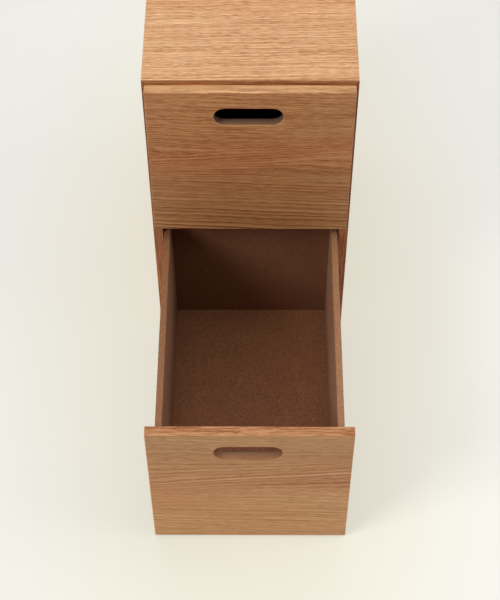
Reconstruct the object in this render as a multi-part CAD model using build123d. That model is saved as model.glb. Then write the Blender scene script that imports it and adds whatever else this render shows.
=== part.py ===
"""Stacking chest: a mitred oak case on a flat base, with two identical drawers pulled by finger slots.

The origin is the centre of the case's underside. +Z is up, +X is to the right seen from the front, and the
drawers pull out towards -Y. The upper drawer is shut and the lower one is pulled out. Millimetres throughout.
"""

from build123d import *
import os

# Case
case_width = 185.0
case_height = 370.0
overall_depth = 285.0  # rear edge of the case to the face of a shut drawer
case_board = 9.0
lipping_depth = 1.0  # strip on the front edges of the case
case_round = 0.8  # four long outer corners
back_board = 3.0
back_recess = 8.0  # rear edge of the case to the back panel
spline_width = 8.0
spline_board = 2.5
spline_share = 0.6  # place of the splines on the mitres, from the outer corner
dowel_diameter = 5.0
dowel_length = 18.0
dowel_count = 3  # in each end of the shelf
dowel_end_space = 35.0  # first and last dowel from the front and rear of the shelf
dowel_share = 2 / 3  # depth of the dowels in the side panels

# Drawer fronts, which lie over the front edges of the case
front_board = 9.0
side_reveal = 2.5
end_reveal = 3.0  # above the upper front and below the lower one
between_fronts = 2.0
front_round = 0.8
slot_length = 60.0
slot_height = 20.0
slot_drop = 19.4  # top edge of the front to the slot
slot_shift = -1.4  # both slots sit a little left of the middle
slot_ease = 0.6  # outer rim
slot_round = 2.0  # inner rim, where the fingers pull
bumper_diameter = 5.0
bumper_tip = 3.0
bumper_height = 1.9
bumper_inset = 15.0  # from the top and bottom edges of the front

# Drawer boxes
box_board = 6.0
floor_board = 3.0
floor_lip = 6.0  # underside of the floor above the lower edge of the sides
side_drop = 17.2  # top edge of the front to the top of the sides
rear_space = 15.0  # behind a shut drawer
arris = 0.5  # eased edges of the lippings and the drawer boards

# Clearances
running = 0.3  # under the sides of a drawer
side_play = 1.0  # each side of a drawer in the case
closing = 0.1  # between a bumper and the case when shut
slack = 0.1  # in grooves, housings and dowel holes
same_plane = 0.001  # how near an edge is to a plane that it lies in

# Pose
left_in_case = 23.4  # length of the lower drawer that is still inside the case

# Boards are housed to half of their thickness
case_housing = case_board / 2
front_housing = front_board / 2
box_housing = box_board / 2

# Places along Y
front_gap = bumper_height + closing
case_depth = overall_depth - front_board - front_gap
case_front = -case_depth / 2
case_rear = case_depth / 2
boards_front = case_front + lipping_depth
back_face = case_rear - back_recess - back_board
groove_front = back_face - slack  # of the groove for the back panel
front_inside = case_front - front_gap
box_rear = back_face - rear_space

# Places along Z, for the lower drawer
front_height = (case_height - 2 * end_reveal - between_fronts) / 2
front_top = end_reveal + front_height
drawer_pitch = front_height + between_fronts
box_bottom = case_board + running
box_top = front_top - side_drop
floor_under = box_bottom + floor_lip
floor_top = floor_under + floor_board
slot_middle = front_top - slot_drop - slot_height / 2
shelf_top = case_board + drawer_pitch

# Places along X
case_inside = case_width / 2 - case_board
front_half = case_width / 2 - side_reveal
box_outside = case_inside - side_play
box_inside = box_outside - box_board

lower_travel = box_rear - case_front - left_in_case

parts = {}


def span(x, y, z):
    """A board between two places on each axis."""
    size = [abs(b - a) for a, b in (x, y, z)]
    middle = [(a + b) / 2 for a, b in (x, y, z)]
    return Pos(*middle) * Box(*size)


def along_y(profile, y_from, y_to):
    """A profile drawn in X and Z, drawn out from one place on Y to another."""
    return extrude(Plane.XZ.offset(-y_from) * profile, amount=y_from - y_to)


def edges_on_y(solid, *places):
    """The edges of a solid that lie flat in planes across Y."""
    found = ShapeList()
    for y in places:
        found += solid.edges().filter_by_position(Axis.Y, y - same_plane, y + same_plane)
    return found


# Case: one rounded frame, parted along its four mitres

case_middle = (0, case_height / 2)
outline = Pos(*case_middle) * RectangleRounded(case_width, case_height, case_round)
opening = Pos(*case_middle) * Rectangle(2 * case_inside, case_height - 2 * case_board)
frame_profile = outline - opening


def mitred_region(across, up):
    """One side of the frame between its 45 degree mitres, reaching a board past both of its faces."""
    out_x, out_z = case_width / 2 + case_board, case_height / 2 + case_board
    in_x, in_z = out_x - 3 * case_board, out_z - 3 * case_board
    if across:
        corners = [(across * x, z) for x, z in ((out_x, -out_z), (out_x, out_z), (in_x, in_z), (in_x, -in_z))]
    else:
        corners = [(x, up * z) for x, z in ((-out_x, out_z), (out_x, out_z), (in_x, in_z), (-in_x, in_z))]
    return Pos(*case_middle) * Polygon(*corners, align=None)


regions = {
    "top": mitred_region(0, 1),
    "bottom": mitred_region(0, -1),
    "left_side": mitred_region(-1, 0),
    "right_side": mitred_region(1, 0),
}

# Splines cross the mitres at right angles, nearer to the inside of each corner
spline_place = spline_share * case_board
corner_turns = {
    "top_left": (-1, 1),
    "top_right": (1, 1),
    "bottom_left": (-1, -1),
    "bottom_right": (1, -1),
}


def spline_profile(sign_x, sign_z, grow):
    """The section of a spline, or of its groove when grown by the slack."""
    x = sign_x * (case_width / 2 - spline_place)
    z = case_height / 2 + sign_z * (case_height / 2 - spline_place)
    strip = Rectangle(spline_width + 2 * grow, spline_board + 2 * grow)
    return Pos(x, z) * Rot(0, 0, -45 * sign_x * sign_z) * strip


spline_grooves = [
    along_y(spline_profile(sx, sz, slack), boards_front, groove_front) for sx, sz in corner_turns.values()
]

# The back panel sits in a groove that runs round the inside of the frame
groove_half = case_inside + case_housing
back_half = groove_half - slack
back_ends = (case_board - case_housing + slack, case_height - case_board + case_housing - slack)
back_groove = span(
    (-groove_half, groove_half),
    (groove_front, back_face + back_board + slack),
    (back_ends[0] - slack, back_ends[1] + slack),
)

# Dowels hold the shelf between the side panels
shelf_middle = shelf_top - case_board / 2
dowel_first = boards_front + dowel_end_space
dowel_step = (groove_front - dowel_end_space - dowel_first) / (dowel_count - 1)
dowel_tip = case_inside + dowel_share * case_board


def dowel_row(sign, grow):
    """The dowels in one end of the shelf, or their holes when grown by the slack."""
    middle = sign * (dowel_tip - dowel_length / 2)
    pin = Cylinder(dowel_diameter / 2 + grow, dowel_length + 2 * grow, rotation=(0, 90, 0))
    places = [dowel_first + step * dowel_step for step in range(dowel_count)]
    return [Pos(middle, y, shelf_middle) * pin for y in places]


dowel_holes = dowel_row(-1, slack) + dowel_row(1, slack)

for place, region in regions.items():
    section = frame_profile & region
    panel = along_y(section, boards_front, case_rear) - back_groove - spline_grooves
    if place.endswith("side"):
        panel = panel - dowel_holes
    strip = along_y(section, case_front, boards_front)
    long_edges = edges_on_y(strip, case_front).sort_by(SortBy.LENGTH)[-2:]
    parts[place + "_panel"] = panel
    parts[place + "_lipping"] = fillet(long_edges, arris)

shelf_x = (-case_inside, case_inside)
shelf_z = (shelf_top - case_board, shelf_top)
parts["middle_shelf"] = span(shelf_x, (boards_front, groove_front), shelf_z) - dowel_holes
shelf_strip = span(shelf_x, (case_front, boards_front), shelf_z)
strip_edges = edges_on_y(shelf_strip, case_front).filter_by(Axis.X)
parts["shelf_lipping"] = fillet(strip_edges, arris)

parts["back_panel"] = span((-back_half, back_half), (back_face, back_face + back_board), back_ends)
parts["shelf_dowels"] = Compound(dowel_row(-1, 0) + dowel_row(1, 0))
for corner, signs in corner_turns.items():
    parts[corner + "_spline"] = along_y(spline_profile(*signs, 0), boards_front, groove_front)


# Drawer boards, drawn shut in the lower place


def slot_rim(board, y):
    """The edges of the finger slot on one face of a front."""
    return [
        edge
        for edge in edges_on_y(board, y)
        if abs(edge.center().X - slot_shift) < slot_length / 2 + slack
        and abs(edge.center().Z - slot_middle) < slot_height / 2 + slack
    ]


def drawer_front():
    """A board with a finger slot rounded over behind, housed for the sides and the floor."""
    face = Pos(0, (end_reveal + front_top) / 2) * RectangleRounded(2 * front_half, front_height, front_round)
    slot = Pos(slot_shift, slot_middle) * SlotOverall(slot_length, slot_height)
    front_outside = front_inside - front_board
    board = along_y(face, front_outside, front_inside)
    board = fillet(edges_on_y(board, front_outside), front_round)
    board = board - along_y(slot, front_outside, front_inside)
    board = chamfer(slot_rim(board, front_outside), slot_ease)
    board = fillet(slot_rim(board, front_inside), slot_round)
    depth = (front_inside - front_housing, front_inside)
    for sign in (-1, 1):
        across = (sign * (box_inside - slack), sign * (box_outside + slack))
        board = board - span(across, depth, (box_bottom - slack, box_top + slack))
    board = board - span((-box_inside, box_inside), depth, (floor_under - slack, floor_top + slack))
    return board


def drawer_side(sign):
    """A side with eased top edges, a groove for the floor and a rebate for the back."""
    section = Pos(sign * (box_inside + box_outside) / 2, (box_bottom + box_top) / 2) * Rectangle(
        box_board, box_top - box_bottom
    )
    section = fillet(section.vertices().group_by(Axis.Y)[-1], arris)
    housed = (sign * box_inside, sign * (box_inside + box_housing))
    groove = Pos((housed[0] + housed[1]) / 2, (floor_under + floor_top) / 2) * Rectangle(
        box_housing, floor_board + 2 * slack
    )
    board = along_y(section - groove, front_inside - front_housing + slack, box_rear)
    rebate = span(housed, (box_rear - box_board - slack, box_rear), (floor_top, box_top))
    return board - rebate


def drawer_back():
    """A board between the sides, set in their rebates and standing on the floor."""
    half = box_inside + box_housing - slack
    board = span((-half, half), (box_rear - box_board, box_rear), (floor_top, box_top))
    top_edges = board.edges().filter_by(Axis.X).group_by(Axis.Z)[-1]
    return fillet(top_edges, arris)


def drawer_floor():
    """A thin board held in the grooves of the sides and the front."""
    half = box_inside + box_housing - slack
    return span((-half, half), (front_inside - front_housing + slack, box_rear), (floor_under, floor_top))


def drawer_bumpers():
    """Four tapered pads behind the front, where it meets the side lippings."""
    pad = Cone(bumper_diameter / 2, bumper_tip / 2, bumper_height, rotation=(-90, 0, 0))
    x = (case_inside + front_half) / 2
    heights = (end_reveal + bumper_inset, front_top - bumper_inset)
    y = front_inside + bumper_height / 2
    return Compound([Pos(sign * x, y, z) * pad for sign in (-1, 1) for z in heights])


drawer_boards = {
    "front": drawer_front(),
    "left_side": drawer_side(-1),
    "right_side": drawer_side(1),
    "back": drawer_back(),
    "floor": drawer_floor(),
    "bumpers": drawer_bumpers(),
}
drawer_places = {"upper": Pos(0, 0, drawer_pitch), "lower": Pos(0, -lower_travel, 0)}
for level, place in drawer_places.items():
    for board_name, board in drawer_boards.items():
        parts[f"{level}_drawer_{board_name}"] = place * board

os.makedirs("parts", exist_ok=True)
for node, shape in parts.items():
    export_step(shape, f"parts/{node}.step")
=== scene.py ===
import math
from typing import NamedTuple

import bpy
from mathutils import Matrix, Vector


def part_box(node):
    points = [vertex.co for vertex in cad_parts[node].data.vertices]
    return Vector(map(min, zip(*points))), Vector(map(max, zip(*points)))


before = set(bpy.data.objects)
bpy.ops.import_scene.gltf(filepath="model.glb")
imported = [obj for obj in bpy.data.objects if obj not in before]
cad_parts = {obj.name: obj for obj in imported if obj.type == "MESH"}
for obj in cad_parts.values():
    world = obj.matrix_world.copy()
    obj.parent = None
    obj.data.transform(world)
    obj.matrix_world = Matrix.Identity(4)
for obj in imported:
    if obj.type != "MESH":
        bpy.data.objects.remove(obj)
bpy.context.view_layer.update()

AXES = "XYZ"

# Camera, above and in front of the chest, in metres and degrees
CAMERA_PLACE = Vector((0.0061, -1.0370, 1.2777))
CAMERA_TURN = -0.45  # to the right of +Y
CAMERA_DOWN = 53.55  # below the horizon
CAMERA_ROLL = -0.25
CAMERA_LENS = 89.93  # millimetres, on a sensor that is 36 mm high
SENSOR_HEIGHT = 36.0


class Lamp(NamedTuple):
    """A square soft lamp, in metres and watts."""
    place: tuple
    side: float
    watts: float


# Soft lamps, all turned to one place in the chest
LAMPS = {
    "ceiling": Lamp((0.0, 0.0, 2.5), 3.0, 52.0),
    "window": Lamp((-1.65, -1.35, 1.78), 1.0, 46.0),
    "right_fill": Lamp((1.9, -0.4, 1.7), 1.4, 24.0),
    "rear_fill": Lamp((0.0, 1.6, 2.0), 1.6, 10.0),
}
LAMP_AIM = Vector((0.0, -0.15, 0.1))
LAMP_COLOUR = (1.0, 0.985, 0.955)
AMBIENT = 0.02

# Pale floor and backdrop. Colours are linear, here and below
FLOOR_SIDE = 40.0
PAPER_DARK = (0.805, 0.802, 0.762)
PAPER_LIGHT = (0.835, 0.832, 0.793)
PAPER_MOTTLE = 3.0  # waves per metre
PAPER_ROUGHNESS = 0.9
PAPER_GLOSS = 0.1
PAPER_GLOW = 0.6  # share of the floor's look near the chest that no shadow reaches
PAPER_FADE = (0.8, 2.5)  # distances over which that share becomes the whole
PAPER_SIDES = (0.965, 1.03)  # brightness to the left and to the right of the chest
PAPER_SIDE_REACH = 0.35
WARM_TINT = (1.0, 0.98, 0.90)  # of the floor near the chest, as the wood warms the light there
WARM_MIDDLE = (0.0, -0.12, 0.0)
WARM_REACH = (0.13, 0.36, 1.0)  # to the sides, forwards and backwards, and upwards
WARM_FADE = (0.9, 2.2)  # times that reach, where the tint starts to fade and where it ends

# Woods: dark, middle and light tones
TOP_TONES = ((0.312, 0.134, 0.047), (0.47, 0.255, 0.124), (0.58, 0.35, 0.185))
UPPER_TONES = ((0.212, 0.060, 0.0145), (0.358, 0.158, 0.058), (0.460, 0.230, 0.098))
LOWER_TONES = ((0.270, 0.114, 0.040), (0.442, 0.222, 0.091), (0.535, 0.304, 0.143))
SIDE_TONES = ((0.28, 0.124, 0.048), (0.44, 0.225, 0.103), (0.55, 0.31, 0.155))
UPPER_EDGE_TONES = ((0.240, 0.110, 0.042), (0.367, 0.190, 0.081), (0.467, 0.266, 0.124))
LOWER_EDGE_TONES = ((0.222, 0.070, 0.015), (0.339, 0.145, 0.055), (0.432, 0.212, 0.095))
TOP_LIPPING_TONES = ((0.284, 0.096, 0.031), (0.437, 0.168, 0.057), (0.535, 0.230, 0.087))
# The left and right lipping tones differ to match how each side is lit: painted light and shade.
LEFT_LIPPING_TONES = ((0.200, 0.064, 0.019), (0.318, 0.111, 0.036), (0.41, 0.161, 0.057))
RIGHT_LIPPING_TONES = ((0.217, 0.062, 0.017), (0.345, 0.107, 0.031), (0.443, 0.156, 0.047))
LIPPING_RIM_TONES = ((0.105, 0.031, 0.008), (0.155, 0.050, 0.013), (0.200, 0.068, 0.019))
BEECH_TONES = ((0.52, 0.31, 0.17), (0.62, 0.40, 0.23), (0.70, 0.47, 0.29))
BIRCH_TONES = ((0.46, 0.30, 0.16), (0.60, 0.42, 0.25), (0.70, 0.52, 0.33))
TONE_STOPS = (0.10, 0.50, 0.90)
MIDDLE_TONE = 0.5

# What tints the woods, and their gloss and relief
RED_TINT = (1.0, 0.86, 0.78)
HEART_TINT = (1.06, 0.82, 0.80)
HEART_TONE_SPAN = (0.8, 0.2)  # tones between which the heartwood gets its full red
HEART_PALE_SHARE = 0.3  # of that red, in the pale tones
PORE_SHADE = (0.66, 0.60, 0.54)
WEAR_TINT = (1.22, 1.26, 1.30)
WEAR_REACH = (0.0012, 0.0002)  # distances from an edge where wear starts, and where it is full
WEAR_PATCH = 90.0  # waves per metre
WEAR_PATCH_SPAN = (0.35, 0.65)
WEAR_PATCH_SHARES = (0.25, 1.0)
VENEER_DEPTH = (0.00048, 0.0006)  # between them, a leaf gives way to the board that it covers
EDGE_FACE = (0.55, 0.8)  # facings between which a face becomes an edge
END_FACE = 0.7  # facing along the grain from which a face is an end
OAK_ROUGHNESS = (0.46, 0.62)  # of pale and dark tones
OAK_ROUGHNESS_SPAN = (0.9, 0.1)
OAK_GLOSS = 0.32
OAK_RELIEF = 0.4  # of the tones, against the depth of the pores
OAK_DENT = 0.00012
OAK_BUMP = 0.5


class Layer(NamedTuple):
    """A layer of noise that is drawn out along the grain."""
    along: float  # waves per metre
    across: float
    weight: float
    detail: float = 1.0
    roughness: float = 0.5


# Layers of the grain
STREAK = Layer(14.0, 1450.0, 2.2, detail=2.0, roughness=0.6)
DASH = Layer(120.0, 1800.0, 2.0, detail=2.0, roughness=0.6)
UPPER_EDGE_STREAK = Layer(30.0, 330.0, 1.8, detail=2.0, roughness=0.6)
LOWER_EDGE_STREAK = Layer(30.0, 750.0, 3.4, detail=2.0, roughness=0.6)
LIPPING_STREAK = Layer(30.0, 420.0, 1.7, detail=2.0, roughness=0.6)
BAND = Layer(1.2, 60.0, 0.3)
BLUSH = Layer(3.0, 14.0, 0.5)
BLUSH_SPAN = (-0.02, 0.22)
PORE = Layer(70.0, 2400.0, 1.0)
PORE_SPAN = (0.08, 0.20)
PORE_RINGS = 0.12  # how much the rings draw the pores together
STRENGTH = Layer(2.0, 130.0, 1.0)
STRENGTH_SPAN = (-0.18, 0.18)
SPREAD = Layer(0.6, 70.0, 2.4)  # its weight is in rings
SWAY = Layer(1.6, 5.0, 0.014)  # its weight is in metres that the lines wander
WIGGLE = Layer(20.0, 55.0, 0.0026)  # likewise
RIPPLE = Layer(75.0, 60.0, 0.0010)  # likewise
NOISE_MEAN = 0.5

# Growth rings
RING_SHAPE = 1.8  # above 1, the dark late wood is narrower than the pale early wood
RING_MEAN = 1.0 / (RING_SHAPE + 1.0)
RING_DEPTH = (14.0, 90.0)  # of the faintest and the strongest rings, for one ring per metre
RING_SLANT = 0.6  # rings across the thickness of a board, against those across its face
CALM_RINGS = 1.35  # what the rings gain where a leaf is calm, so that its lines run long
CALM_STREAKS = -0.3  # what the streaks and dashes gain there
CALM_HEART = 0.8  # how calm the reddest heartwood is

# Fibreboard: dark and light felt, flecks, and the sawn edges on top
FLOOR_BOARD = ((0.165, 0.062, 0.025), (0.262, 0.107, 0.046))
BACK_BOARD = ((0.130, 0.053, 0.023), (0.190, 0.081, 0.039))
# The walls' board is lighter and greyer than the floor's: partly its own colour, partly a painted sheen of
# walls seen at a grazing angle.
SIDE_BOARD = ((0.175, 0.081, 0.043), (0.275, 0.140, 0.082))
UPPER_SLOT_BOARD = ((0.166, 0.091, 0.052), (0.204, 0.114, 0.067))
LOWER_SLOT_BOARD = ((0.212, 0.096, 0.041), (0.261, 0.120, 0.052))
# The left sawn edge is a darker copy of the right one: painted shade.
SHADED_LEFT_EDGE_BOARD = ((0.159, 0.064, 0.026), (0.222, 0.097, 0.041))
RIGHT_EDGE_BOARD = ((0.205, 0.093, 0.042), (0.285, 0.139, 0.067))
FELT = 520.0  # waves per metre, as in the next lines
FELT_DETAIL = 3.0
FELT_ROUGHNESS = 0.65
FELT_SPAN = (0.26, 0.74)
SAWN_SPAN = (0.3, 0.7)
CLOUD = 22.0
CLOUD_WEIGHT = 0.25
FIBRE = (330.0, 1250.0, 900.0)  # along X, Y and Z
SIDE_FIBRE = (900.0, 300.0, 1000.0)
FLECK_SPAN = (0.67, 0.76)
FLECK_TINT = (1.75, 1.85, 1.95)
TOP_FACE = (0.3, 0.8)  # upward facings between which a face becomes a sawn edge
CORNER_SHADE = 0.84  # brightness of a drawer's floor along its sides, painted shade
CORNER_REACH = 0.030
BOARD_ROUGHNESS = (0.68, 0.62)  # of hollows and of raised fibres
BOARD_GLOSS = 0.3
BOARD_DENT = 0.00008
BOARD_BUMP = 0.4

# Finger slot, which is the same on both fronts, in metres
SLOT_MIDDLE = -0.0014
SLOT_STRAIGHT = 0.020  # half of its straight length
SLOT_RADIUS = 0.010
SLOT_RIM = 0.0022  # reach of its widest rim
SLOT_BELOW_TOP = 0.0294
SLOT_PAINTED_SHADE = (1.08, 0.55)  # brightness of the slot's core, at its outer and inner rims: painted shade, darker towards the inner rim

# Clear bumper pads
PAD_TONES = ((0.70, 0.70, 0.68), (0.82, 0.82, 0.80))
PAD_BLOOM = 700.0  # waves per metre
PAD_BLOOM_SPAN = (0.3, 0.7)
PAD_ROUGHNESS = (0.28, 0.45)
PAD_GLOSS = 0.5
PAD_CLEARNESS = 0.45


# Places of a Mix node's sockets for colours
MIX_FIRST = 6
MIX_SECOND = 7
MIX_RESULT = 2


def opaque(colour):
    """A colour with full opacity, or a result as it is."""
    return colour if isinstance(colour, bpy.types.NodeSocket) else (*colour, 1.0)


class Nodes:
    """A tree of nodes, with short calls that add nodes to it and give their results."""

    def __init__(self, tree):
        self.tree = tree

    def feed(self, socket, value):
        """Links a result to a socket, or sets the socket to a constant."""
        if isinstance(value, bpy.types.NodeSocket):
            self.tree.links.new(value, socket)
        else:
            socket.default_value = value

    def new(self, kind, inputs, **settings):
        """Adds a node with its settings and inputs."""
        node = self.tree.nodes.new("ShaderNode" + kind)
        for name, value in settings.items():
            setattr(node, name, value)
        for key, value in inputs.items():
            self.feed(node.inputs[key], value)
        return node

    def add(self, kind, inputs, output=0, **settings):
        """Adds a node and gives one of its outputs."""
        return self.new(kind, inputs, **settings).outputs[output]

    def math(self, operation, first, second=0.0, third=0.0):
        return self.add("Math", {0: first, 1: second, 2: third}, operation=operation)

    def total(self, *values):
        result = values[0]
        for value in values[1:]:
            result = self.math("ADD", result, value)
        return result

    def away(self, value, middle):
        """How far a value lies from a middle, to either side."""
        return self.math("ABSOLUTE", self.math("SUBTRACT", value, middle))

    def vector(self, operation, first, second):
        return self.add("VectorMath", {0: first, 1: second}, operation=operation)

    def length(self, vector):
        return self.add("VectorMath", {0: vector}, output="Value", operation="LENGTH")

    def parts(self, vector):
        """The X, Y and Z of a vector."""
        return dict(zip(AXES, self.new("SeparateXYZ", {0: vector}).outputs))

    def ramp(self, value, low, high, start=0.0, end=1.0):
        """Maps a span of values to another, smoothly and held at its ends."""
        inputs = {"Value": value, "From Min": low, "From Max": high, "To Min": start, "To Max": end}
        return self.add("MapRange", inputs, interpolation_type="SMOOTHSTEP")

    def mix(self, share, first, second, blend="MIX"):
        inputs = {0: share, MIX_FIRST: opaque(first), MIX_SECOND: opaque(second)}
        return self.add("Mix", inputs, output=MIX_RESULT, data_type="RGBA", blend_type=blend)

    def tint(self, share, colour, factor):
        """Multiplies a colour by another, by a share."""
        return self.mix(share, colour, factor, "MULTIPLY")

    def lit(self, colour, brightness):
        """Brightens or darkens a colour."""
        return self.add("VectorMath", {0: colour, "Scale": brightness}, operation="SCALE")

    def seen_straight(self):
        """1 for rays from the camera, gloss and glass, which see the backdrop at its full paleness."""
        rays = self.new("LightPath", {}).outputs
        result = rays["Is Camera Ray"]
        for kind in ("Is Glossy Ray", "Is Transmission Ray"):
            result = self.math("MAXIMUM", result, rays[kind])
        return result


class Shader(Nodes):
    """A material, which knows where each point of a piece at rest lies, and which way it faces."""

    def __init__(self, name):
        self.material = bpy.data.materials.new(name)
        self.material.use_nodes = True
        super().__init__(self.material.node_tree)
        self.surface = self.tree.nodes["Principled BSDF"]
        coordinates = self.new("TexCoord", {}).outputs
        self.place = coordinates["Object"]
        self.at = self.parts(self.place)
        self.facing = self.parts(coordinates["Normal"])

    def noise(self, place, detail=2.0, roughness=0.5):
        inputs = {"Vector": place, "Scale": 1.0, "Detail": detail, "Roughness": roughness}
        return self.add("TexNoise", inputs)

    def even_noise(self, waves, detail=2.0, roughness=0.5):
        """Noise with the same waves per metre on each axis, or with three given ones."""
        scale = waves if isinstance(waves, tuple) else (waves, waves, waves)
        return self.noise(self.vector("MULTIPLY", self.place, scale), detail, roughness)

    def bump(self, height, distance, strength):
        """Dents the surface by a height from 0 to 1, over a distance in metres."""
        normal = self.add("Bump", {"Height": height, "Distance": distance, "Strength": strength})
        self.feed(self.surface.inputs["Normal"], normal)

    def polish(self, roughness, gloss):
        self.feed(self.surface.inputs["Roughness"], roughness)
        self.surface.inputs["Specular IOR Level"].default_value = gloss

    def painted(self, colour):
        """The material, once it has its colour."""
        self.feed(self.surface.inputs["Base Color"], colour)
        return self.material


class Vein(NamedTuple):
    """A pale or dark line that follows the grain."""
    middle: float  # place across the leaf
    reach: float  # to each side
    tone: float  # what it adds to the tone
    span: tuple  # where along the leaf it starts to show, and where it shows in full


class Heart(NamedTuple):
    """The redder heartwood of a leaf, a band that fades to both sides."""
    middle: float  # place across the leaf
    reach: float  # to each side
    climb: float  # how much more the lines rise in it
    red: float  # how red it is
    calm: tuple  # places across the leaf: the lines run long below the first, and short above the second
    veins: tuple


class Leaf(NamedTuple):
    """A leaf of veneer, or a piece of wood: how its grain runs, along the axes of the chest."""
    along: str  # the way of the grain
    across: str  # the way across it, on the leaf's face
    ends: str  # the way of the grain on the faces that close the leaf's ends
    shift: tuple = (0.0, 0.0, 0.0)  # picks another part of the pattern
    climb: float = 0.0  # how far the lines rise for each metre along them
    figure: float = 1.0  # how strongly the lines show
    rings: float = 220.0  # growth rings per metre
    crowding: float = 0.0  # how fast the rings draw together across the leaf
    ripple: float = 1.0  # how strongly the lines ripple
    heart: Heart = None


class Grain:
    """The pattern of a leaf: its tone, its blush and its pores, each about from 0 to 1."""

    def __init__(self, shader, leaf):
        self.shader = shader
        self.leaf = leaf
        along = shader.math("ABSOLUTE", shader.facing[leaf.along])
        self.at_end = shader.math("GREATER_THAN", along, END_FACE)
        self.place = shader.vector("ADD", shader.place, leaf.shift)
        self.heart = self.heartwood() if leaf.heart else None
        self.wander = self.wandering()
        aside = shader.add("CombineXYZ", {leaf.across: self.wander})
        self.bent = shader.vector("ADD", self.place, aside)
        ring = self.rings()
        lines = shader.math("MULTIPLY", self.lines(ring), leaf.figure)
        self.tone = shader.total(lines, self.waves(BAND, self.bent), MIDDLE_TONE, *self.veins())
        self.blush = shader.ramp(self.waves(BLUSH, self.bent), *BLUSH_SPAN)
        drawn = shader.math("MULTIPLY", ring, PORE_RINGS)
        self.pores = shader.ramp(shader.math("SUBTRACT", self.waves(PORE, self.bent), drawn), *PORE_SPAN)

    def stretched(self, way, layer):
        return tuple(layer.along if axis == way else layer.across for axis in AXES)

    def waves(self, layer, place):
        """A layer of noise about 0, drawn out along the grain of the face or of the ends."""
        shader, leaf = self.shader, self.leaf
        scale = shader.mix(self.at_end, self.stretched(leaf.along, layer), self.stretched(leaf.ends, layer))
        value = shader.noise(shader.vector("MULTIPLY", place, scale), layer.detail, layer.roughness)
        return shader.math("MULTIPLY", shader.math("SUBTRACT", value, NOISE_MEAN), layer.weight)

    def heartwood(self):
        """1 in the middle of the heartwood, falling to 0 at the end of its reach."""
        shader, leaf, heart = self.shader, self.leaf, self.leaf.heart
        rise = shader.math("MULTIPLY", shader.at[leaf.along], leaf.climb + heart.climb)
        off = shader.away(shader.at[leaf.across], shader.math("ADD", rise, heart.middle))
        return shader.ramp(off, heart.reach, 0.0)

    def wandering(self):
        """How far the lines lie to the side of where straight ones would."""
        shader, leaf = self.shader, self.leaf
        climb = leaf.climb
        if leaf.heart:
            climb = shader.total(shader.math("MULTIPLY", self.heart, leaf.heart.climb), climb)
        rise = shader.math("MULTIPLY", shader.at[leaf.along], climb)
        ripple = shader.math("MULTIPLY", self.waves(RIPPLE, self.place), leaf.ripple)
        wander = shader.total(self.waves(SWAY, self.place), self.waves(WIGGLE, self.place), ripple)
        return shader.math("SUBTRACT", wander, rise)

    def rings(self):
        """Growth rings, above 0 in the pale early wood and below it in the dark late wood."""
        shader, leaf = self.shader, self.leaf
        shares = {leaf.along: 0.0, leaf.across: 1.0}
        on_face = tuple(shares.get(axis, RING_SLANT) for axis in AXES)
        on_ends = tuple(0.0 if axis in (leaf.along, leaf.ends) else 1.0 for axis in AXES)
        way = shader.mix(self.at_end, on_face, on_ends)
        depth = shader.add("VectorMath", {0: self.bent, 1: way}, output="Value", operation="DOT_PRODUCT")
        crowd = shader.math("MULTIPLY", depth, leaf.crowding)
        count = shader.math("MULTIPLY", depth, shader.total(crowd, leaf.rings))
        count = shader.total(count, self.waves(SPREAD, self.bent))
        late = shader.math("POWER", shader.math("FRACT", count), RING_SHAPE)
        strength = shader.ramp(self.waves(STRENGTH, self.bent), *STRENGTH_SPAN, *RING_DEPTH)
        strength = shader.math("DIVIDE", strength, shader.total(crowd, crowd, leaf.rings))
        return shader.math("MULTIPLY", shader.math("SUBTRACT", RING_MEAN, late), strength)

    def lines(self, ring):
        """Rings, streaks and dashes together. Where the leaf is calm, the rings gain on the rest."""
        shader, leaf, heart = self.shader, self.leaf, self.leaf.heart
        streaks = shader.total(self.waves(STREAK, self.bent), self.waves(DASH, self.bent))
        if not heart:
            return shader.total(ring, streaks)
        below = shader.ramp(shader.at[leaf.across], *heart.calm, 1.0, 0.0)
        calm = shader.math("MAXIMUM", shader.math("MULTIPLY", self.heart, CALM_HEART * heart.red), below)
        rings = shader.math("MULTIPLY", ring, shader.math("MULTIPLY_ADD", calm, CALM_RINGS, 1.0))
        streaks = shader.math("MULTIPLY", streaks, shader.math("MULTIPLY_ADD", calm, CALM_STREAKS, 1.0))
        return shader.total(rings, streaks)

    def veins(self):
        """What each vein adds to the tone."""
        shader, leaf = self.shader, self.leaf
        if not leaf.heart:
            return []
        line = shader.math("ADD", shader.at[leaf.across], self.wander)
        tones = []
        for vein in leaf.heart.veins:
            tone = shader.ramp(shader.away(line, vein.middle), vein.reach, 0.0, 0.0, vein.tone)
            tones.append(shader.math("MULTIPLY", tone, shader.ramp(shader.at[leaf.along], *vein.span)))
        return tones

    def edge_tone(self, streak, figure):
        """The tone of an edge, which has streaks of its own beside the leaf's lines."""
        lines = self.shader.math("MULTIPLY_ADD", self.tone, figure, MIDDLE_TONE * (1.0 - figure))
        return self.shader.total(lines, self.waves(streak, self.bent))

    def redness(self):
        """How red the heartwood is, most of all in its dark tones."""
        red = self.leaf.heart.red
        share = self.shader.ramp(self.tone, *HEART_TONE_SPAN, HEART_PALE_SHARE * red, red)
        return self.shader.math("MULTIPLY", self.heart, share)


def toned(shader, tone, tones):
    """The colour of a tone between dark, middle and light."""
    ramp = shader.new("ValToRGB", {0: tone})
    stops = ramp.color_ramp.elements
    stops.new(MIDDLE_TONE)
    for stop, position, colour in zip(stops, TONE_STOPS, tones):
        stop.position = position
        stop.color = opaque(colour)
    return ramp.outputs[0]


class Edge(NamedTuple):
    """The faces of a board that look one way along an axis, and have tones and streaks of their own."""
    axis: str
    sign: float
    tones: tuple
    streak: Layer
    figure: float = 1.0  # how strongly the leaf's lines show there


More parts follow.
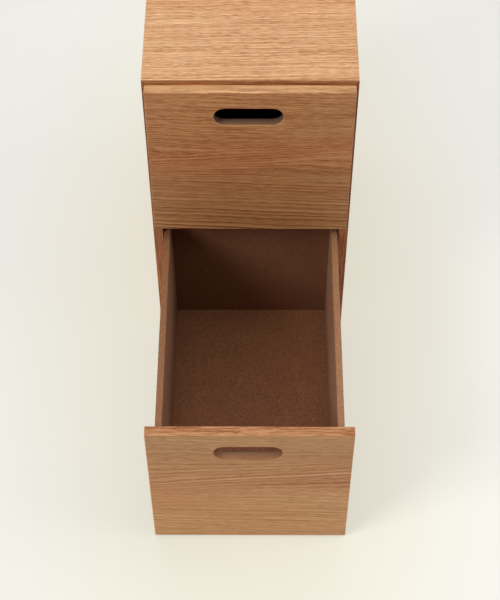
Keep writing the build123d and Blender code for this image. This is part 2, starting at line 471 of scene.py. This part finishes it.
def veneer(shader, leaf, tones, edge=None):
    """Gives a shader the gloss and relief of oiled wood, and returns the wood's colour."""
    grain = Grain(shader, leaf)
    colour = toned(shader, grain.tone, tones)
    if edge:
        turned = shader.math("MULTIPLY", shader.facing[edge.axis], edge.sign)
        edge_colour = toned(shader, grain.edge_tone(edge.streak, edge.figure), edge.tones)
        colour = shader.mix(shader.ramp(turned, *EDGE_FACE), colour, edge_colour)
    colour = shader.tint(grain.blush, colour, RED_TINT)
    if leaf.heart:
        colour = shader.tint(grain.redness(), colour, HEART_TINT)
    relief = shader.math("SUBTRACT", shader.math("MULTIPLY", grain.tone, OAK_RELIEF), grain.pores)
    shader.bump(relief, OAK_DENT, OAK_BUMP)
    shader.polish(shader.ramp(grain.tone, *OAK_ROUGHNESS_SPAN, *OAK_ROUGHNESS), OAK_GLOSS)
    return shader.tint(grain.pores, colour, PORE_SHADE)


def to_edge(shader, node):
    """How far a place lies from the nearest edge of a node's box: the middle one of its three gaps."""
    gaps = []
    for axis, low, high in zip(AXES, *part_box(node)):
        off = shader.away(shader.at[axis], (low + high) / 2)
        gaps.append(shader.math("SUBTRACT", (high - low) / 2, off))
    first, second, third = gaps
    less = shader.math("MINIMUM", first, second)
    more = shader.math("MAXIMUM", first, second)
    return shader.math("MAXIMUM", less, shader.math("MINIMUM", more, third))


def worn(shader, colour, node):
    """Makes a colour paler in patches along the edges of a node."""
    patches = shader.ramp(shader.even_noise(WEAR_PATCH), *WEAR_PATCH_SPAN, *WEAR_PATCH_SHARES)
    wear = shader.ramp(to_edge(shader, node), *WEAR_REACH)
    return shader.tint(shader.math("MULTIPLY", wear, patches), colour, WEAR_TINT)


def painted_light_across(shader, colour, node, axis, low_end, high_end):
    """Paints light and shade on a colour: brightens or darkens it from one side of a node's box to the
    other.
    """
    low, high = (corner[AXES.index(axis)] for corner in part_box(node))
    return shader.lit(colour, shader.ramp(shader.at[axis], low, high, low_end, high_end))


def board(shader, tones, fibre=FIBRE):
    """The colour of brown fibreboard, felted fibres with a few pale flecks, and its felt as a height."""
    felt = shader.even_noise(FELT, FELT_DETAIL, FELT_ROUGHNESS)
    cloud = shader.math("SUBTRACT", shader.even_noise(CLOUD), NOISE_MEAN)
    cloud = shader.math("MULTIPLY", cloud, CLOUD_WEIGHT)
    colour = shader.mix(shader.ramp(shader.total(felt, cloud), *FELT_SPAN), *tones)
    flecks = shader.ramp(shader.even_noise(fibre, detail=1.0), *FLECK_SPAN)
    return shader.tint(flecks, colour, FLECK_TINT), felt


def dress(node, material):
    """Gives a node one material all over."""
    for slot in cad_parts[node].material_slots:
        slot.material = material


# Case panels: their tones and leaves
PANELS = {
    "top_panel": (TOP_TONES, Leaf("X", "Y", "Z", climb=0.02, figure=1.1, rings=300.0, ripple=2.0)),
    "bottom_panel": (SIDE_TONES, Leaf("X", "Y", "Z", (0.31, 0.17, 0.0))),
    "left_side_panel": (SIDE_TONES, Leaf("Z", "Y", "X", (0.0, 0.53, 0.2), climb=0.03)),
    "right_side_panel": (SIDE_TONES, Leaf("Z", "Y", "X", (0.0, 0.91, 0.7), climb=-0.02)),
    "middle_shelf": (SIDE_TONES, Leaf("X", "Y", "Z", (0.77, 0.4, 0.0))),
    "back_panel": (SIDE_TONES, Leaf("Z", "X", "X", (0.23, 0.0, 0.6), climb=0.01)),
}


class Lipping(NamedTuple):
    """The strip on the front edge of a panel."""
    tones: tuple  # of its front
    leaf: Leaf
    fade: tuple = (1.0, 1.0)  # brightness at its lower and upper ends, painted light and shade


# The lippings' brightness from end to end is painted light and shade: the side lippings lighter at the
# bottom and in painted shade at the top, the top lipping lighter along its lower rim.
LIPPINGS = {
    "top_lipping": Lipping(TOP_LIPPING_TONES, Leaf("X", "Z", "Y", (0.1, 0.0, 0.3)), (1.4, 0.88)),
    "bottom_lipping": Lipping(RIGHT_LIPPING_TONES, Leaf("X", "Z", "Y", (0.4, 0.0, 0.3))),
    "shelf_lipping": Lipping(RIGHT_LIPPING_TONES, Leaf("X", "Z", "Y", (0.7, 0.0, 0.3))),
    "left_side_lipping": Lipping(LEFT_LIPPING_TONES, Leaf("Z", "X", "Y", (0.0, 0.2, 0.5)), (1.21, 0.68)),
    "right_side_lipping": Lipping(RIGHT_LIPPING_TONES, Leaf("Z", "X", "Y", (0.6, 0.2, 0.8)), (1.12, 0.70)),
}
SPLINE_CORNERS = ("top_left", "top_right", "bottom_left", "bottom_right")


def oak_panel(node, tones, leaf):
    """An oak panel with worn edges."""
    shader = Shader("oak_" + node)
    return shader.painted(worn(shader, veneer(shader, leaf, tones), node))


def oak_lipping(node, lipping):
    """An oak strip, whose rims show as a thin dark line beside its front, with painted light and shade from
    one end to the other.
    """
    shader = Shader("oak_" + node)
    front = Edge("Y", -1.0, lipping.tones, LIPPING_STREAK)
    colour = veneer(shader, lipping.leaf, LIPPING_RIM_TONES, front)
    return shader.painted(painted_light_across(shader, colour, node, "Z", *lipping.fade))


def inner_wood(name, tones, leaf):
    """A plain wood for the pieces inside the joints."""
    shader = Shader(name)
    return shader.painted(veneer(shader, leaf, tones))


for node, (tones, leaf) in PANELS.items():
    dress(node, oak_panel(node, tones, leaf))
for node, lipping in LIPPINGS.items():
    dress(node, oak_lipping(node, lipping))
dress("shelf_dowels", inner_wood("beech", BEECH_TONES, Leaf("X", "Z", "X")))
plywood = inner_wood("birch", BIRCH_TONES, Leaf("Y", "Z", "Y"))
for corner in SPLINE_CORNERS:
    dress(corner + "_spline", plywood)


class Front(NamedTuple):
    """The looks of a drawer front."""
    tones: tuple
    leaf: Leaf
    edge: Edge  # its upper edge
    fade: tuple  # brightness at its lower and upper edges, painted light and shade
    core_tones: tuple  # of the fibreboard inside its finger slot
    core_end_shading: tuple  # brightness of that core at the slot's left and right ends, painted light and shade


class Board(NamedTuple):
    """The looks of a fibreboard piece of a drawer."""
    tones: tuple
    edge_tones: tuple = None  # of its sawn upper edge
    fade: tuple = (1.0, 1.0)  # brightness at its lower and upper edges, painted shade and light where they differ
    corners: bool = False  # whether it gets painted shade along the drawer's sides
    fibre: tuple = FIBRE


UPPER_HEART = Heart(0.2855, 0.030, climb=0.14, red=1.0, calm=(0.27, 0.33), veins=(
    Vein(0.279, 0.0022, 0.42, (0.0, 0.06)),
    Vein(0.285, 0.0019, 0.36, (0.01, 0.07)),
))
LOWER_HEART = Heart(0.112, 0.050, climb=0.155, red=0.6, calm=(-0.06, 0.09), veins=(
    Vein(0.109, 0.0027, 0.44, (-0.08, 0.0)),
    Vein(0.096, 0.0026, -0.22, (-0.02, 0.05)),
    Vein(0.103, 0.028, -0.10, (-0.12, -0.02)),
))
# The fronts' brightness from top to bottom is painted light and shade: the upper front darker towards its
# bottom, the lower one lighter there, as the floor lights it.
FRONTS = {
    "upper": Front(
        UPPER_TONES,
        Leaf("X", "Z", "Z", climb=-0.05, figure=0.85, rings=25.0, crowding=640.0, heart=UPPER_HEART),
        Edge("Z", 1.0, UPPER_EDGE_TONES, UPPER_EDGE_STREAK, figure=0.4),
        fade=(0.97, 1.10), core_tones=UPPER_SLOT_BOARD, core_end_shading=(0.75, 0.75)),
    "lower": Front(
        LOWER_TONES,
        Leaf("X", "Z", "Z", (0.37, 0.0, 0.61), climb=-0.045, figure=0.60, rings=190.0, heart=LOWER_HEART),
        Edge("Z", 1.0, LOWER_EDGE_TONES, LOWER_EDGE_STREAK),
        fade=(1.19, 0.96), core_tones=LOWER_SLOT_BOARD, core_end_shading=(1.2, 0.75)),
}
BOARDS = {
    # The side walls' brightness from bottom to top is painted shade and light: darker towards the bottom,
    # the left wall darker than the right.
    "left_side": Board(SIDE_BOARD, SHADED_LEFT_EDGE_BOARD, (0.80, 1.01), fibre=SIDE_FIBRE),
    "right_side": Board(SIDE_BOARD, RIGHT_EDGE_BOARD, (1.0, 1.18), fibre=SIDE_FIBRE),
    "back": Board(BACK_BOARD, RIGHT_EDGE_BOARD),
    "floor": Board(FLOOR_BOARD, corners=True),
}


def in_slot(shader, node):
    """1 on the walls of a front's finger slot, behind the veneer."""
    low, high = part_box(node)
    past = shader.math("SUBTRACT", shader.away(shader.at["X"], SLOT_MIDDLE), SLOT_STRAIGHT)
    past = shader.math("MAXIMUM", past, 0.0)
    rise = shader.math("SUBTRACT", shader.at["Z"], high[2] - SLOT_BELOW_TOP)
    squares = shader.total(shader.math("MULTIPLY", past, past), shader.math("MULTIPLY", rise, rise))
    near = shader.math("LESS_THAN", shader.math("SQRT", squares), SLOT_RADIUS + SLOT_RIM)
    start, end = (low[1] + depth for depth in VENEER_DEPTH)
    return shader.math("MULTIPLY", near, shader.ramp(shader.at["Y"], start, end))


def slot_core(shader, node, front):
    """The colour of the fibreboard that shows inside a front's finger slot, with painted shade towards its
    inner rim and its ends.
    """
    core, _ = board(shader, front.core_tones)
    core = painted_light_across(shader, core, node, "Y", *SLOT_PAINTED_SHADE)
    beside = shader.math("SUBTRACT", shader.at["X"], SLOT_MIDDLE)
    for side, brightness in zip((-1.0, 1.0), front.core_end_shading):
        out = shader.math("MULTIPLY", beside, side)
        shade = shader.ramp(out, SLOT_STRAIGHT, SLOT_STRAIGHT + SLOT_RADIUS, 1.0, brightness)
        core = shader.lit(core, shade)
    return core


def oak_front(node, front):
    """A veneered front with worn edges and painted light and shade from top to bottom, whose fibreboard
    core shows inside the finger slot.
    """
    shader = Shader("oak_" + node)
    colour = veneer(shader, front.leaf, front.tones, front.edge)
    colour = painted_light_across(shader, worn(shader, colour, node), node, "Z", *front.fade)
    return shader.painted(shader.mix(in_slot(shader, node), colour, slot_core(shader, node, front)))


def fibreboard(node, looks):
    """Brown fibreboard, with paler sawn edges on top, and painted shade from bottom to top and along its
    corners where it has them.
    """
    shader = Shader("fibreboard_" + node)
    colour, felt = board(shader, looks.tones, looks.fibre)
    colour = painted_light_across(shader, colour, node, "Z", *looks.fade)
    if looks.corners:
        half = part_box(node)[1][0]
        off = shader.math("ABSOLUTE", shader.at["X"])
        colour = shader.lit(colour, shader.ramp(off, half - CORNER_REACH, half, 1.0, CORNER_SHADE))
    if looks.edge_tones:
        sawn = shader.mix(shader.ramp(felt, *SAWN_SPAN), *looks.edge_tones)
        colour = shader.mix(shader.ramp(shader.facing["Z"], *TOP_FACE), colour, sawn)
    shader.bump(felt, BOARD_DENT, BOARD_BUMP)
    shader.polish(shader.ramp(felt, *SAWN_SPAN, *BOARD_ROUGHNESS), BOARD_GLOSS)
    return shader.painted(colour)


def soft_pad():
    """Clear soft plastic with a faint bloom."""
    shader = Shader("clear_pad")
    bloom = shader.even_noise(PAD_BLOOM)
    shader.surface.inputs["Transmission Weight"].default_value = PAD_CLEARNESS
    shader.polish(shader.ramp(bloom, *PAD_BLOOM_SPAN, *PAD_ROUGHNESS), PAD_GLOSS)
    return shader.painted(shader.mix(bloom, *PAD_TONES))


clear_pad = soft_pad()
for level, front in FRONTS.items():
    drawer = level + "_drawer_"
    dress(drawer + "front", oak_front(drawer + "front", front))
    for piece, looks in BOARDS.items():
        dress(drawer + piece, fibreboard(drawer + piece, looks))
    dress(drawer + "bumpers", clear_pad)


def paper():
    """Mottled pale paper, warmer near the chest. A glow that lights nothing softens its shadows."""
    shader = Shader("floor_paper")
    colour = shader.mix(shader.even_noise(PAPER_MOTTLE), PAPER_DARK, PAPER_LIGHT)
    side = shader.ramp(shader.at["X"], -PAPER_SIDE_REACH, PAPER_SIDE_REACH, *PAPER_SIDES)
    colour = shader.lit(colour, side)
    beside = shader.vector("DIVIDE", shader.vector("SUBTRACT", shader.place, WARM_MIDDLE), WARM_REACH)
    warmth = shader.ramp(shader.length(beside), *WARM_FADE, 1.0, 0.0)
    colour = shader.tint(warmth, colour, WARM_TINT)
    shader.polish(PAPER_ROUGHNESS, PAPER_GLOSS)
    material = shader.painted(colour)
    glow = shader.add("Emission", {"Color": colour, "Strength": 1.0})
    share = shader.ramp(shader.length(shader.place), *PAPER_FADE, PAPER_GLOW, 1.0)
    share = shader.math("MULTIPLY", shader.seen_straight(), share)
    softened = shader.add("MixShader", {0: share, 1: shader.surface.outputs[0], 2: glow})
    shader.feed(shader.tree.nodes["Material Output"].inputs["Surface"], softened)
    return material


# Floor
bpy.ops.mesh.primitive_plane_add(size=FLOOR_SIDE, location=(0.0, 0.0, 0.0))
floor = bpy.context.object
floor.name = "floor"
floor.data.materials.append(paper())


def hang(name, lamp):
    """Puts a lamp in its place, turned to the chest."""
    light = bpy.data.lights.new(name, "AREA")
    light.size = lamp.side
    light.energy = lamp.watts
    light.color = LAMP_COLOUR
    panel = bpy.data.objects.new(name, light)
    panel.location = lamp.place
    panel.rotation_euler = (LAMP_AIM - panel.location).to_track_quat("-Z", "Y").to_euler()
    bpy.context.scene.collection.objects.link(panel)


for name, lamp in LAMPS.items():
    hang(name, lamp)


def surround():
    """A world that gives a little light from all round, and shows the floor's colour behind everything."""
    world = bpy.data.worlds.new("studio")
    world.use_nodes = True
    sky = Nodes(world.node_tree)
    around = sky.tree.nodes["Background"]
    around.inputs["Color"].default_value = opaque(LAMP_COLOUR)
    around.inputs["Strength"].default_value = AMBIENT
    backdrop = sky.add("Background", {"Color": opaque(PAPER_LIGHT)})
    seen = sky.add("MixShader", {0: sky.seen_straight(), 1: around.outputs[0], 2: backdrop})
    sky.feed(sky.tree.nodes["World Output"].inputs["Surface"], seen)
    return world


bpy.context.scene.world = surround()


def aimed_camera():
    """A camera that looks down at the chest, rolled a little."""
    turn, down, roll = (math.radians(angle) for angle in (CAMERA_TURN, CAMERA_DOWN, CAMERA_ROLL))
    ahead = Vector((math.sin(turn) * math.cos(down), math.cos(turn) * math.cos(down), -math.sin(down)))
    level_right = Vector((math.cos(turn), -math.sin(turn), 0.0))
    level_up = level_right.cross(ahead)
    right = math.cos(roll) * level_right + math.sin(roll) * level_up
    up = math.cos(roll) * level_up - math.sin(roll) * level_right
    lens = bpy.data.cameras.new("camera")
    lens.sensor_fit = "VERTICAL"
    lens.sensor_height = SENSOR_HEIGHT
    lens.lens = CAMERA_LENS
    camera = bpy.data.objects.new("camera", lens)
    turned = Matrix((right, up, -ahead)).transposed().to_4x4()
    camera.matrix_world = Matrix.Translation(CAMERA_PLACE) @ turned
    bpy.context.scene.collection.objects.link(camera)
    return camera


bpy.context.scene.camera = aimed_camera()
bpy.context.scene.view_settings.view_transform = "Standard"
